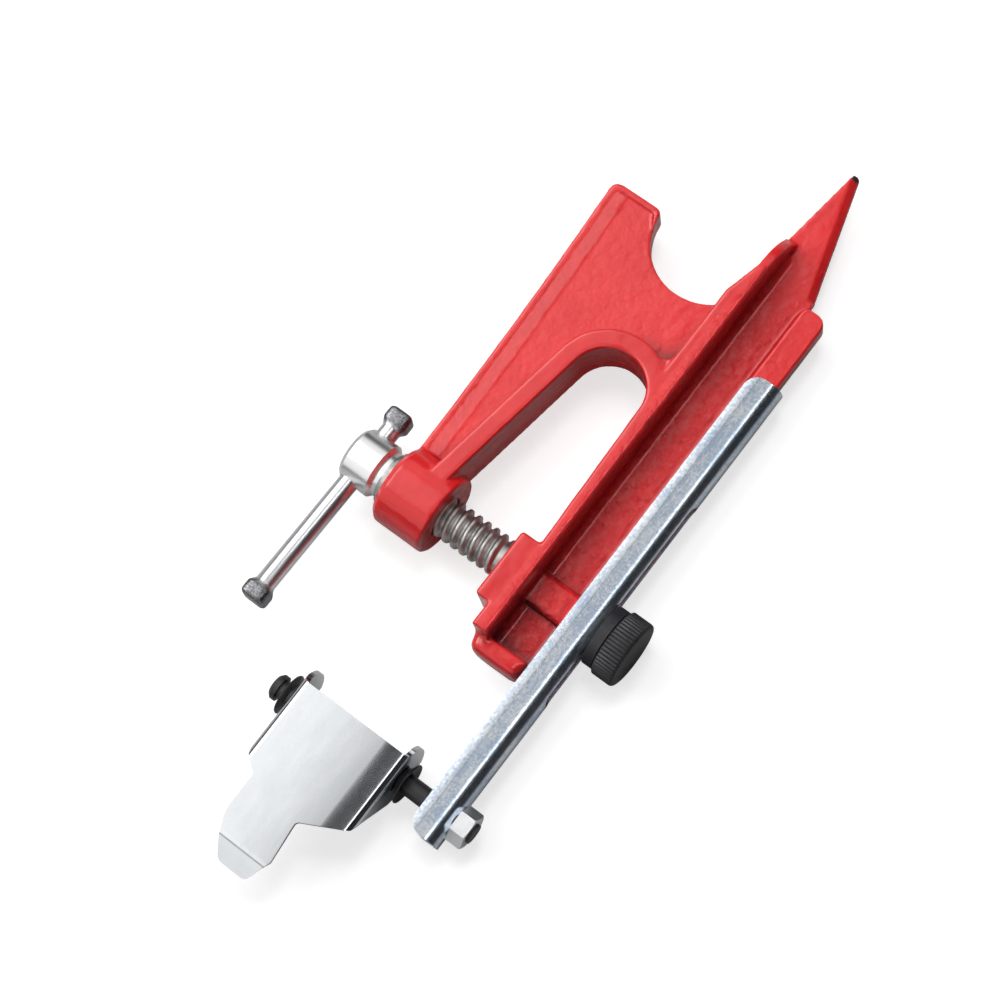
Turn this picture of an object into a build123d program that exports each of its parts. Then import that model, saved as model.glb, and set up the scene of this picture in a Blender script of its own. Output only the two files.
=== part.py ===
from build123d import *
from math import cos, radians, sin, tan
import os

# Chainsaw bar clamp, in millimetres, lying on its back.
# Origin: where the screw's axis meets the fixed jaw.  +X runs along the screw towards the
# fixed jaw, +Y towards the spike, +Z out of the front face.

# Clearances
RUN_FIT = 0.05            # radial play of a shaft that turns in a hole
SLIDE_FIT = 0.10          # radial play of the sliding bar in the screw's head
SEAT_GAP = 0.30           # gap between pieces that move past each other
OVERRUN = 2.0             # how far a cutting tool runs past the metal
MATCH = 0.001             # how near an edge's middle lies to count as at a place

# Casting, heights along Z
FRONT_Z = 14.0            # front face of the rim and the jaw wall
BACK_Z = -8.0             # back face
WEB_FRONT_Z = 5.0         # recessed front of the web and the foot
WEB_BACK_Z = -5.0
BEAD_RISE = 1.3           # low border on the web's left edge and along the foot's end
BEAD_WIDTH = 2.4
BEAD_SLOPE = 5.5          # how far the left border slopes down into the recess
FLOOR_Z = -3.5            # floor of the channel beside the jaw wall
EDGE_ROUND = 1.3
RIM_BEVEL = 0.7           # front edges of the rim and the wall
COVE_R = 3.0              # hollow fillet between the channel's floor and the wall
CORNER_COVE_R = 4.0       # hollow fillet between the throat's rim and the wall

# Throat, the tapered opening that the saw's bar goes through
THROAT_R = 14.9
THROAT_X = -8.5
THROAT_Y = 71.45
THROAT_LEFT_TILT = 9.1    # degrees from the Y axis
THROAT_RIGHT_TILT = 1.7
RIM_WIDTH = 7.7
RIM_LOW_Y = 2.0

# Fixed jaw and the wall that runs from it to the spike
JAW_LOW_Y = -18.0
JAW_TOP_Y = 10.4
WALL_THICK = 6.2          # between the throat and the channel
WALL_SET = 1.4            # how far the wall's left side lies left of the throat's side
LEG_WIDTH = 6.6
LEG_LOW_Y = -27.6
WALL_BEND_Y = 127.5       # where the wall starts to lean to the right
WALL_LEAN = 4.0
WALL_FULL_Y = 139.0       # the wall's front edge curves down from here
WALL_END_Y = 162.0
WALL_DROP_R = 24.0

# Web and foot
WEB_LEFT_LOW = (-51.6, 2.0)
WEB_LEFT_MID = (-53.6, 84.5)
WEB_LEFT_TOP = (-56.4, 136.0)
FOOT_END_Y = 141.0
FOOT_CORNER = 3.5
FOOT_INNER_CORNER = 2.5
BORDER_FADE = 20.0        # degrees round the cut-out over which the border runs out
HOLLOW_R = 23.2           # round cut-out between the foot and the spike
HOLLOW_X = -11.2

# Spike and channel
SPIKE_TIP_Y = 198.0
SPIKE_TIP_X = 14.2
SPIKE_TIP_R = 1.3
SPIKE_TIP_SHARE = 0.9     # how much of the tip's half width is rounded
SPIKE_ROOT_IN = 4.3       # the root's left side from the wall's right side
SPIKE_ROOT_Y = 163.0
SPIKE_SHOULDER = (31.0, 146.5)
SPIKE_BEVEL_X = 3.0
SPIKE_BEVEL_Z = 2.2

# Rail that the arm straddles
RAIL_LEFT_X = 29.2
RAIL_RIGHT_X = 40.2
RAIL_TOP_Y = 143.0
RAIL_THICK = 8.0
RAIL_LEFT_CORNER = 3.5
RAIL_RIGHT_CORNER = 5.0

# Hammer pad at the jaw's end
PAD_LEFT_X = 7.0
PAD_TOP_Y = -26.2
PAD_LOW_Y = -34.4
PAD_FRONT_Z = 6.0
PAD_ROUND = 3.4
PAD_END_ROUND = 3.0

# Tapped rib for the knob's stud
RIB_LOW_Y = -8.0
RIB_TOP_Y = 5.5
RIB_FRONT_Z = 0.6
RIB_BACK_Z = -10.0
RIB_BEVEL = 1.8

# Boss and clamp screw
BOSS_R = 16.2
BOSS_LEFT_X = -52.6
BOSS_RIGHT_X = -29.1
BOSS_LEFT_CHAMFER = 2.2
BOSS_RIGHT_CHAMFER = 0.9
SCREW_R = 8.0
SCREW_TIP_GAP = 0.4       # gap between the screw's tip and the jaw, nearly shut
TIP_R = 6.6
TIP_LENGTH = 2.6
TIP_CHAMFER = 0.6
WASHER_R = 11.0
WASHER_THICK = 1.6
NECK_R = 9.4
NECK_LENGTH = 2.6
HEAD_R = 11.15
HEAD_LENGTH = 14.7
HEAD_CHAMFER = 1.6

# Sliding bar
BAR_R = 4.0
BAR_X_IN_HEAD = -9.3      # bar's axis from the head's inner face
BAR_TILT = 3.5            # degrees, the bar's upper end leans back
BAR_TOP = 22.4            # ends of the bar along its own axis
BAR_LOW = -67.5
BLOCK_SIDE = 10.2         # swaged square ends
BLOCK_LENGTH = 6.6
BLOCK_TAPER = 2.6
BLOCK_CHAMFER = 1.6

# Arm, a channel of folded sheet
ARM_SHEET = 2.2
ARM_OUTER_ROUND = 3.4
ARM_DEPTH = 13.1          # flange depth from the web's outer face
ARM_LOW_Y = -98.3
ARM_TOP_Y = 110.5
ARM_CORNER = 6.0
SLOT_LOW_Y = -31.0        # ends of the slot's centre line
SLOT_TOP_Y = 54.0
SLOT_PLAY = 0.5

# Clamping knob and its stud
STUD_R = 3.0
STUD_DEPTH = 24.0         # how far the stud reaches past the arm's outer face
STUD_HOLE_SPARE = 2.5
KNOB_Y = -0.9
KNOB_R = 13.5
KNOB_COLLAR_R = 12.4
KNOB_COLLAR_LENGTH = 4.2
KNOB_LENGTH = 9.7
KNOB_CHAMFER = 1.2

# Pivot pin, nut and washers
PIN_R = 4.0
PIN_Y = -86.2
PIN_HEAD_R = 5.2
PIN_HEAD_LENGTH = 3.0
PIN_HEAD_CHAMFER = 1.2
PIN_LEFT_X = -42.0
PIN_BEYOND_NUT = 1.0
NUT_FLATS = 13.0
NUT_THICK = 6.5
NUT_CHAMFER = 0.9
RING_R = 8.7
RING_THICK = 0.9
RING_DISH = 1.1
RING_INNER_X = 18.0
RING_OUTER_X = -34.0

# Pawl, a folded plate that swings on the pin
PAWL_SHEET = 2.0
PAWL_LEFT_X = -32.0
PAWL_RIGHT_X = 16.8
PAWL_FRONT_Z = 8.0
PAWL_BEND = 4.0
PAWL_TOP_Y = -79.2
PAWL_EAR_LOW_Y = -109.0
EAR_TOP_R = 13.4
EAR_BACK = 9.0
SHOULDER_DROP = 3.2       # the plate's full width runs on this far below the ears
TONGUE_LEFT_X = -24.7
TONGUE_LEFT_DROP = 8.0    # top of the tongue's left side, below the ears
TONGUE_LEFT_SIDE = 16.0   # length of the straight left side
TONGUE_RIGHT_X = -1.5
TONGUE_RIGHT_DROP = 12.3  # inner corner on the right, below the ears
TONGUE_RIGHT_SIDE = 16.7
TONGUE_FLARE = 1.7        # how far the right side runs outwards
TONGUE_LENGTH = 32.0      # from the ears to the bend
TIP_LEFT_IN = 7.6         # corners of the tip, from the tongue's sides, measured flat
TIP_RIGHT_IN = 2.9
TIP_REACH = 9.4           # flat length of the tip below the bend
TIP_BEND = 35.0           # degrees the tongue's tip is bent back
TIP_CORNER = 3.2
SIDE_CURVE = 14.0         # radius where the left side turns in
INNER_CURVE = 2.0

# Places that follow from the sizes above
WALL_RIGHT_X = THROAT_X + THROAT_R + WALL_THICK
WALL_LEFT_X = THROAT_X + THROAT_R - WALL_SET
LEG_LEFT_X = WALL_RIGHT_X - LEG_WIDTH
SPIKE_ROOT_X = WALL_RIGHT_X - SPIKE_ROOT_IN
TONGUE_BEND_Y = PAWL_EAR_LOW_Y - TONGUE_LENGTH
WEB_BORDER_Z = WEB_FRONT_Z + BEAD_RISE
RAIL_MID_Z = BACK_Z + RAIL_THICK / 2
RAIL_OUTER_ROUND = ARM_OUTER_ROUND - ARM_SHEET - SEAT_GAP
ARM_INNER = RAIL_THICK + 2 * SEAT_GAP
ARM_WIDTH = ARM_INNER + 2 * ARM_SHEET
ARM_WEB_IN_X = RAIL_RIGHT_X + SEAT_GAP
ARM_WEB_OUT_X = ARM_WEB_IN_X + ARM_SHEET
ARM_EDGE_X = ARM_WEB_OUT_X - ARM_DEPTH
WASHER_RIGHT_X = BOSS_LEFT_X - SEAT_GAP
NECK_RIGHT_X = WASHER_RIGHT_X - WASHER_THICK - SEAT_GAP
HEAD_RIGHT_X = NECK_RIGHT_X - NECK_LENGTH
HEAD_LEFT_X = HEAD_RIGHT_X - HEAD_LENGTH
BAR_X = HEAD_RIGHT_X + BAR_X_IN_HEAD
COLLAR_LEFT_X = ARM_WEB_OUT_X + SEAT_GAP
KNOB_LEFT_X = COLLAR_LEFT_X + KNOB_COLLAR_LENGTH + SEAT_GAP
STUD_END_X = KNOB_LEFT_X + KNOB_LENGTH / 2
UP = (0, 0, 1)


def slab(outline, low, high):
    """A straight block on a closed XY outline, between two heights."""
    return extrude(Pos(0, 0, low) * outline, high - low, dir=UP)


def polygon(points):
    """A flat face on a closed run of XY points."""
    return make_face(Polyline(*points, close=True))


def box(x, y, z):
    """A block between two X, two Y and two Z places."""
    size = Box(x[1] - x[0], y[1] - y[0], z[1] - z[0])
    return Pos((x[0] + x[1]) / 2, (y[0] + y[1]) / 2, (z[0] + z[1]) / 2) * size


def rod(radius, left, right, y=0.0, z=0.0):
    """A cylinder along X between two places."""
    return Pos((left + right) / 2, y, z) * Rot(0, 90, 0) * Cylinder(radius, right - left)


def edges_at(shape, axis, place):
    """The edges of a shape whose middles lie at one place along an axis."""
    return shape.edges().filter_by_position(axis, place - MATCH, place + MATCH)


def corner(face, x, y):
    """The vertex of a flat face that lies nearest to a place."""
    return face.vertices().sort_by_distance((x, y, 0))[0]


def throat_face(grow, low_y):
    """The throat's outline, larger by grow, cut off level at low_y."""
    r = THROAT_R + grow
    left, right = radians(THROAT_LEFT_TILT), radians(THROAT_RIGHT_TILT)
    left_touch = (THROAT_X - r * cos(left), THROAT_Y + r * sin(left))
    right_touch = (THROAT_X + r * cos(right), THROAT_Y + r * sin(right))
    left_low = (left_touch[0] - tan(left) * (left_touch[1] - low_y), low_y)
    right_low = (right_touch[0] + tan(right) * (right_touch[1] - low_y), low_y)
    arc = ThreePointArc(left_touch, (THROAT_X, THROAT_Y + r), right_touch)
    sides = [Line(left_low, left_touch), Line(right_touch, right_low), Line(right_low, left_low)]
    return make_face([arc] + sides)


def throat_cut(low_y):
    """The space inside the throat, right through the casting."""
    return slab(throat_face(0, low_y), BACK_Z - OVERRUN, FRONT_Z + OVERRUN)


def web_plate():
    """The thin web with the foot and the round cut-out, recessed inside a low border."""
    inner_x = WALL_LEFT_X + FOOT_INNER_CORNER
    cut_left = (HOLLOW_X - HOLLOW_R, FOOT_END_Y)
    cut_end_y = FOOT_END_Y - (HOLLOW_R ** 2 - (inner_x - HOLLOW_X) ** 2) ** 0.5
    edge = ThreePointArc(WEB_LEFT_LOW, WEB_LEFT_MID, WEB_LEFT_TOP)
    top_left = (WEB_LEFT_TOP[0], FOOT_END_Y)
    hollow = ThreePointArc(cut_left, (HOLLOW_X, FOOT_END_Y - HOLLOW_R), (inner_x, cut_end_y))
    rest = Polyline(
        (inner_x, cut_end_y), (inner_x, THROAT_Y + THROAT_R), (THROAT_X, THROAT_Y),
        (THROAT_X, WEB_LEFT_LOW[1]), WEB_LEFT_LOW)
    top = Polyline(WEB_LEFT_TOP, top_left, cut_left)
    plate = slab(make_face([edge, top, hollow, rest]), WEB_BACK_Z, WEB_BORDER_Z)
    at_end = edges_at(plate, Axis.Y, FOOT_END_Y).filter_by(Axis.Z)
    plate = fillet(at_end.sort_by(Axis.X)[0], FOOT_CORNER)
    at_end = edges_at(plate, Axis.Y, FOOT_END_Y).filter_by(Axis.Z)
    plate = fillet(at_end.sort_by(Axis.X)[-1], FOOT_INNER_CORNER)
    return plate - web_recess()


def web_recess():
    """The space cut out of the web's front, sloping up to the border on the left."""
    inner = [(x + BEAD_WIDTH, y) for x, y in (WEB_LEFT_LOW, WEB_LEFT_MID, WEB_LEFT_TOP)]
    top_y = FOOT_END_Y - BEAD_WIDTH
    inner_x = WALL_LEFT_X + FOOT_INNER_CORNER
    fade_y = FOOT_END_Y - HOLLOW_R * sin(radians(BORDER_FADE))
    side = ThreePointArc(*inner)
    rest = Polyline(
        inner[2], (inner[2][0], top_y), (HOLLOW_X - HOLLOW_R - BEAD_WIDTH, top_y),
        (HOLLOW_X - HOLLOW_R * cos(radians(BORDER_FADE)), fade_y), (inner_x, fade_y),
        (inner_x, WEB_LEFT_LOW[1]), inner[0])
    space = slab(make_face([side, rest]), WEB_FRONT_Z, FRONT_Z)
    floor = space.faces().sort_by(Axis.Z)[0]
    left = floor.edges().filter_by(GeomType.CIRCLE).sort_by(Axis.X)[0]
    return chamfer(left, BEAD_RISE, BEAD_SLOPE)


def throat_rim():
    """The raised rim round the throat, front to back."""
    ring = throat_face(RIM_WIDTH, RIM_LOW_Y) - throat_face(0, RIM_LOW_Y)
    rim = slab(ring, BACK_Z, FRONT_Z)
    long_edges = edges_at(rim, Axis.Z, FRONT_Z) - edges_at(rim, Axis.Y, RIM_LOW_Y)
    rim = chamfer(long_edges, RIM_BEVEL)
    left_part = box((WEB_LEFT_TOP[0], WALL_RIGHT_X - RIM_BEVEL),
                    (RIM_LOW_Y - OVERRUN, WALL_BEND_Y),
                    (BACK_Z - OVERRUN, FRONT_Z + OVERRUN))
    return rim & left_part


def rim_corner():
    """The hollow fillet that joins the throat's rim to the wall."""
    ring_r, r = THROAT_R + RIM_WIDTH, CORNER_COVE_R
    ring = Vector(THROAT_X, THROAT_Y)
    wall_off = WALL_LEFT_X - THROAT_X
    meet = ring + Vector(wall_off, (ring_r ** 2 - wall_off ** 2) ** 0.5)
    centre = ring + Vector(wall_off - r, ((ring_r + r) ** 2 - (wall_off - r) ** 2) ** 0.5)
    on_ring = ring + (centre - ring).normalized() * ring_r
    on_wall = centre + Vector(r, 0)
    middle = centre + (meet - centre).normalized() * r
    hollow = ThreePointArc(on_ring, middle, on_wall)
    return slab(make_face([Line(on_wall, meet), Line(meet, on_ring), hollow]), BACK_Z, FRONT_Z - RIM_BEVEL)


def channel_cove():
    """The hollow fillet along the foot of the wall, in the channel."""
    x, z, r = WALL_RIGHT_X, FLOOR_Z, COVE_R
    near = r * (1 - sin(radians(45)))
    hollow = ThreePointArc((x + r, z), (x + near, z + near), (x, z + r))
    section = make_face([Line((x, z), (x + r, z)), hollow, Line((x, z + r), (x, z))])
    length = WALL_END_Y - 2 * r - PAD_TOP_Y
    return extrude(Pos(0, PAD_TOP_Y, 0) * (Plane.XZ * section), length, dir=(0, 1, 0))


def jaw_wall():
    """The deep wall from the jaw up to the spike, with its front edge curving down."""
    outline = polygon([
        (LEG_LEFT_X, LEG_LOW_Y), (LEG_LEFT_X, JAW_TOP_Y), (WALL_LEFT_X, JAW_TOP_Y),
        (WALL_LEFT_X, WALL_BEND_Y), (WALL_LEFT_X + WALL_LEAN, WALL_FULL_Y + WALL_LEAN),
        (SPIKE_ROOT_X, WALL_END_Y), (WALL_RIGHT_X, WALL_END_Y), (WALL_RIGHT_X, LEG_LOW_Y)])
    wall = slab(outline, BACK_Z, FRONT_Z) - throat_cut(JAW_TOP_Y)
    wall = chamfer(edges_at(wall, Axis.Z, FRONT_Z), RIM_BEVEL)
    return wall & wall_profile()


def wall_profile():
    """The wall's side view: level, then an arc down to the spike."""
    start = (WALL_FULL_Y, FRONT_Z)
    fall = FRONT_Z - FLOOR_Z
    reach = (WALL_DROP_R ** 2 - (WALL_DROP_R - fall) ** 2) ** 0.5
    half = radians(90) - 0.5 * radians(90) * reach / WALL_DROP_R
    mid = (WALL_FULL_Y + WALL_DROP_R * cos(half), FRONT_Z - WALL_DROP_R * (1 - sin(half)))
    end = (WALL_FULL_Y + reach, FLOOR_Z)
    low = LEG_LOW_Y - OVERRUN
    side = Plane.YZ * make_face([
        ThreePointArc(start, mid, end),
        Polyline(end, (end[0], BACK_Z - OVERRUN), (low, BACK_Z - OVERRUN), (low, FRONT_Z), start)])
    return extrude(side, WALL_RIGHT_X + OVERRUN, dir=(1, 0, 0))


def jaw_block():
    """The fixed jaw that the screw closes against."""
    block = box((0, WALL_RIGHT_X), (JAW_LOW_Y, JAW_TOP_Y), (BACK_Z, FRONT_Z))
    face_edges = edges_at(block, Axis.X, 0).filter_by(Axis.Z)
    block = fillet(face_edges, EDGE_ROUND)
    return fillet(edges_at(block, Axis.Z, FRONT_Z), EDGE_ROUND)


def channel_plate():
    """The thin floor beside the wall, which runs on into the spike."""
    tip_half = SPIKE_TIP_R
    outline = polygon([
        (WALL_RIGHT_X - OVERRUN, PAD_LOW_Y + PAD_ROUND), (RAIL_LEFT_X + OVERRUN, PAD_LOW_Y + PAD_ROUND),
        (RAIL_LEFT_X + OVERRUN, RAIL_TOP_Y - RAIL_LEFT_CORNER), SPIKE_SHOULDER,
        (SPIKE_TIP_X + tip_half, SPIKE_TIP_Y), (SPIKE_TIP_X - tip_half, SPIKE_TIP_Y),
        (SPIKE_ROOT_X, SPIKE_ROOT_Y), (SPIKE_ROOT_X, WALL_FULL_Y), (WALL_RIGHT_X - OVERRUN, WALL_FULL_Y)])
    plate = slab(outline, BACK_Z, FLOOR_Z)
    tip = plate.edges().filter_by(Axis.Z).group_by(Axis.Y)[-1]
    return fillet(tip, SPIKE_TIP_R * SPIKE_TIP_SHARE) - spike_bevel()


def spike_bevel():
    """The wedge that is ground off the spike's long edge."""
    along = Vector(SPIKE_TIP_X + SPIKE_TIP_R, SPIKE_TIP_Y) - Vector(*SPIKE_SHOULDER)
    outward = Vector(along.Y, -along.X)
    start = Vector(*SPIKE_SHOULDER, FLOOR_Z)
    frame = Plane(origin=start, x_dir=outward, z_dir=along)
    rise = frame.to_local_coords(start + Vector(*UP) * OVERRUN).Y
    up = 1 if rise > 0 else -1
    past = SPIKE_BEVEL_Z * (1 + OVERRUN / SPIKE_BEVEL_X)
    section = polygon([
        (-SPIKE_BEVEL_X, 0), (OVERRUN, -up * past), (OVERRUN, up * OVERRUN), (-SPIKE_BEVEL_X, up * OVERRUN)])
    return extrude(frame * section, along.length + OVERRUN, dir=along)


def rail():
    """The flat rail that carries the sliding arm, round along its outer side."""
    x, y = (RAIL_LEFT_X, RAIL_RIGHT_X), (PAD_LOW_Y + PAD_ROUND, RAIL_TOP_Y)
    z = (BACK_Z, BACK_Z + RAIL_THICK)
    bar = box(x, y, z)
    bar = fillet(edges_at(bar, Axis.X, RAIL_RIGHT_X).filter_by(Axis.Y), RAIL_OUTER_ROUND)
    front_left = edges_at(bar, Axis.X, RAIL_LEFT_X).filter_by(Axis.Y).sort_by(Axis.Z)[-1]
    bar = fillet(front_left, EDGE_ROUND)
    plan = box(x, y, z)
    corners = plan.edges().filter_by(Axis.Z).group_by(Axis.Y)[-1].sort_by(Axis.X)
    plan = fillet(corners[0], RAIL_LEFT_CORNER)
    outer = edges_at(plan, Axis.Y, RAIL_TOP_Y).filter_by(Axis.Z).sort_by(Axis.X)[-1]
    return bar & fillet(outer, RAIL_RIGHT_CORNER)


def hammer_pad():
    """The rounded bar at the jaw's end that takes the hammer."""
    end_x = ARM_EDGE_X - SEAT_GAP
    bar = box((PAD_LEFT_X, end_x), (PAD_LOW_Y, PAD_TOP_Y), (BACK_Z, PAD_FRONT_Z))
    long_edges = edges_at(bar, Axis.Z, PAD_FRONT_Z).filter_by(Axis.X)
    bar = fillet(long_edges, PAD_ROUND)
    return fillet(bar.faces().sort_by(Axis.X)[0].edges(), PAD_END_ROUND)


def stud_rib():
    """The cross rib in the channel, tapped for the knob's stud."""
    rib = box((WALL_RIGHT_X - OVERRUN, RAIL_LEFT_X), (RIB_LOW_Y, RIB_TOP_Y), (RIB_BACK_Z, RIB_FRONT_Z))
    front = edges_at(rib, Axis.Z, RIB_FRONT_Z).filter_by(Axis.X)
    back = edges_at(rib, Axis.Z, RIB_BACK_Z).filter_by(Axis.X)
    return chamfer(front + back, RIB_BEVEL)


def screw_boss():
    """The round boss that the clamp screw runs in."""
    boss = rod(BOSS_R, BOSS_LEFT_X, BOSS_RIGHT_X)
    boss = chamfer(boss.faces().sort_by(Axis.X)[0].edges(), BOSS_LEFT_CHAMFER)
    return chamfer(boss.faces().sort_by(Axis.X)[-1].edges(), BOSS_RIGHT_CHAMFER)


def cast_body():
    """The red casting, one piece."""
    body = web_plate() - throat_cut(RIM_LOW_Y - OVERRUN)
    body = body + throat_rim() + rim_corner() + jaw_wall() + jaw_block()
    body = body + channel_plate() + channel_cove() + rail() + hammer_pad() + stud_rib() + screw_boss()
    screw_hole = rod(SCREW_R + RUN_FIT, BOSS_LEFT_X - OVERRUN, BOSS_RIGHT_X + OVERRUN)
    stud_end = ARM_WEB_OUT_X - STUD_DEPTH - STUD_HOLE_SPARE
    stud_hole = rod(STUD_R + RUN_FIT, stud_end, RAIL_RIGHT_X + OVERRUN, KNOB_Y, RAIL_MID_Z)
    return body - screw_hole - stud_hole


def clamp_screw():
    """The clamp screw: round head, neck, threaded shank and plain tip."""
    head = rod(HEAD_R, HEAD_LEFT_X, HEAD_RIGHT_X)
    head = chamfer(head.edges().filter_by(GeomType.CIRCLE), HEAD_CHAMFER)
    shank_end = -SCREW_TIP_GAP - TIP_LENGTH
    tip = rod(TIP_R, shank_end, -SCREW_TIP_GAP)
    tip = chamfer(edges_at(tip, Axis.X, -SCREW_TIP_GAP), TIP_CHAMFER)
    neck = rod(NECK_R, HEAD_RIGHT_X, NECK_RIGHT_X)
    shank = rod(SCREW_R, NECK_RIGHT_X, shank_end)
    hole = bar_frame() * Cylinder(BAR_R + SLIDE_FIT, 2 * HEAD_R + OVERRUN)
    return head + neck + shank + tip - hole


def bar_frame():
    """The sliding bar's own frame: its Z axis runs along the bar."""
    return Pos(BAR_X, 0, 0) * Rot(-90 - BAR_TILT, 0, 0)


def swaged_end(outward):
    """A square block on the bar's end, tapering into the round bar."""
    block = Box(BLOCK_SIDE, BLOCK_SIDE, BLOCK_LENGTH)
    block = chamfer(block.edges().filter_by(Axis.Z), BLOCK_CHAMFER)
    block = chamfer(block.faces().sort_by(Axis.Z)[-1].edges(), BLOCK_CHAMFER)
    half = BLOCK_LENGTH / 2
    neck = Pos(0, 0, -half - BLOCK_TAPER / 2) * Cone(BAR_R, BLOCK_SIDE / 2, BLOCK_TAPER)
    end = Pos(0, 0, -half) * (block + neck)
    return end if outward else Rot(180, 0, 0) * end


def t_bar():
    """The sliding bar through the screw's head."""
    middle = (BAR_TOP + BAR_LOW) / 2
    inset = BLOCK_CHAMFER
    bar = Pos(0, 0, middle) * Cylinder(BAR_R, BAR_TOP - BAR_LOW - 2 * inset)
    bar = bar + Pos(0, 0, BAR_TOP) * swaged_end(True) + Pos(0, 0, BAR_LOW) * swaged_end(False)
    return bar_frame() * bar


def thrust_washer():
    """The loose washer between the screw's neck and the boss."""
    left = WASHER_RIGHT_X - WASHER_THICK
    ring = rod(WASHER_R, left, WASHER_RIGHT_X)
    return ring - rod(SCREW_R + RUN_FIT, left - OVERRUN, WASHER_RIGHT_X + OVERRUN)


def arm_channel():
    """The folded channel that slides on the rail."""
    back, front = RAIL_MID_Z - ARM_WIDTH / 2, RAIL_MID_Z + ARM_WIDTH / 2
    arm = box((ARM_EDGE_X, ARM_WEB_OUT_X), (ARM_LOW_Y, ARM_TOP_Y), (back, front))
    arm = fillet(edges_at(arm, Axis.X, ARM_WEB_OUT_X).filter_by(Axis.Y), ARM_OUTER_ROUND)
    arm = fillet(edges_at(arm, Axis.X, ARM_EDGE_X).filter_by(Axis.Z), ARM_CORNER)
    inside = box((ARM_EDGE_X - OVERRUN, ARM_WEB_IN_X), (ARM_LOW_Y - OVERRUN, ARM_TOP_Y + OVERRUN),
                 (back + ARM_SHEET, front - ARM_SHEET))
    root = edges_at(inside, Axis.X, ARM_WEB_IN_X).filter_by(Axis.Y)
    arm = arm - fillet(root, ARM_OUTER_ROUND - ARM_SHEET)
    pin_hole = rod(PIN_R + RUN_FIT, ARM_WEB_IN_X - OVERRUN, ARM_WEB_OUT_X + OVERRUN, PIN_Y, RAIL_MID_Z)
    return arm - pin_hole - arm_slot()


def arm_slot():
    """The long slot in the arm's web, round at both ends."""
    half = STUD_R + SLOT_PLAY
    x = (ARM_WEB_IN_X - OVERRUN, ARM_WEB_OUT_X + OVERRUN)
    slot = box(x, (SLOT_LOW_Y, SLOT_TOP_Y), (RAIL_MID_Z - half, RAIL_MID_Z + half))
    for end_y in (SLOT_LOW_Y, SLOT_TOP_Y):
        slot = slot + rod(half, x[0], x[1], end_y, RAIL_MID_Z)
    return slot


def knob_collar():
    """The plain collar between the knob and the arm, loose on the stud."""
    collar = rod(KNOB_COLLAR_R, COLLAR_LEFT_X, COLLAR_LEFT_X + KNOB_COLLAR_LENGTH, KNOB_Y, RAIL_MID_Z)
    hole = rod(STUD_R + RUN_FIT, COLLAR_LEFT_X - OVERRUN, KNOB_LEFT_X + OVERRUN, KNOB_Y, RAIL_MID_Z)
    return collar - hole


def clamp_knob():
    """The moulded knob, with a blind hole for its stud."""
    end = KNOB_LEFT_X + KNOB_LENGTH
    grip = rod(KNOB_R, KNOB_LEFT_X, end, KNOB_Y, RAIL_MID_Z)
    grip = chamfer(edges_at(grip, Axis.X, end), KNOB_CHAMFER)
    return grip - rod(STUD_R, KNOB_LEFT_X - OVERRUN, STUD_END_X, KNOB_Y, RAIL_MID_Z)


def knob_stud():
    """The steel stud fixed in the knob, screwed into the casting's rib."""
    return rod(STUD_R, ARM_WEB_OUT_X - STUD_DEPTH, STUD_END_X, KNOB_Y, RAIL_MID_Z)


def pivot_pin():
    """The long pin that carries the pawl, held at one end by the arm."""
    nut_end = ARM_WEB_OUT_X + NUT_THICK + PIN_BEYOND_NUT
    pin = rod(PIN_R, PIN_LEFT_X + PIN_HEAD_LENGTH, nut_end, PIN_Y, RAIL_MID_Z)
    head = rod(PIN_HEAD_R, PIN_LEFT_X, PIN_LEFT_X + PIN_HEAD_LENGTH, PIN_Y, RAIL_MID_Z)
    return pin + chamfer(edges_at(head, Axis.X, PIN_LEFT_X), PIN_HEAD_CHAMFER)


def pivot_nut():
    """The hexagon nut on the arm's outer face."""
    hexagon = RegularPolygon(NUT_FLATS / 2, 6, major_radius=False, rotation=30)
    nut = extrude(hexagon, NUT_THICK, dir=UP)
    corner_r = NUT_FLATS / 2 / cos(radians(30))
    cone = Pos(0, 0, NUT_THICK / 2) * Cylinder(corner_r, NUT_THICK)
    nut = nut & chamfer(edges_at(cone, Axis.Z, NUT_THICK), NUT_CHAMFER / 2, NUT_CHAMFER)
    nut = nut - Pos(0, 0, NUT_THICK / 2) * Cylinder(PIN_R + RUN_FIT, NUT_THICK + OVERRUN)
    return Pos(ARM_WEB_OUT_X, PIN_Y, RAIL_MID_Z) * Rot(0, 90, 0) * nut


def push_ring(left, facing):
    """A dished push-on ring that grips the pin beside the pawl's ear."""
    bore = PIN_R + RUN_FIT
    near, far = (0.0, RING_DISH) if facing > 0 else (RING_DISH, 0.0)
    section = Polyline(
        (near, bore), (far, RING_R), (far + RING_THICK, RING_R), (near + RING_THICK, bore), close=True)
    ring = revolve(make_face(section), Axis.X)
    return Pos(left, PIN_Y, RAIL_MID_Z) * ring


def pawl_ear(left):
    """One ear of the pawl, a rounded tab round the pin."""
    pin = (PIN_Y, RAIL_MID_Z)
    back = RAIL_MID_Z - EAR_BACK
    fold_z = PAWL_FRONT_Z - PAWL_BEND
    side = polygon([
        (PIN_Y, fold_z), (PAWL_EAR_LOW_Y, fold_z), (PIN_Y - EAR_BACK, back), (PIN_Y, back)])
    band = Rectangle(2 * EAR_TOP_R, fold_z - back)
    face = (Pos(*pin) * Circle(EAR_TOP_R) & Pos(PIN_Y, (fold_z + back) / 2) * band) + side
    ear = extrude(Plane.YZ * face, PAWL_SHEET, dir=(1, 0, 0))
    ear = ear - rod(PIN_R + RUN_FIT, -OVERRUN, PAWL_SHEET + OVERRUN, *pin)
    return Pos(left, 0, 0) * ear


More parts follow.
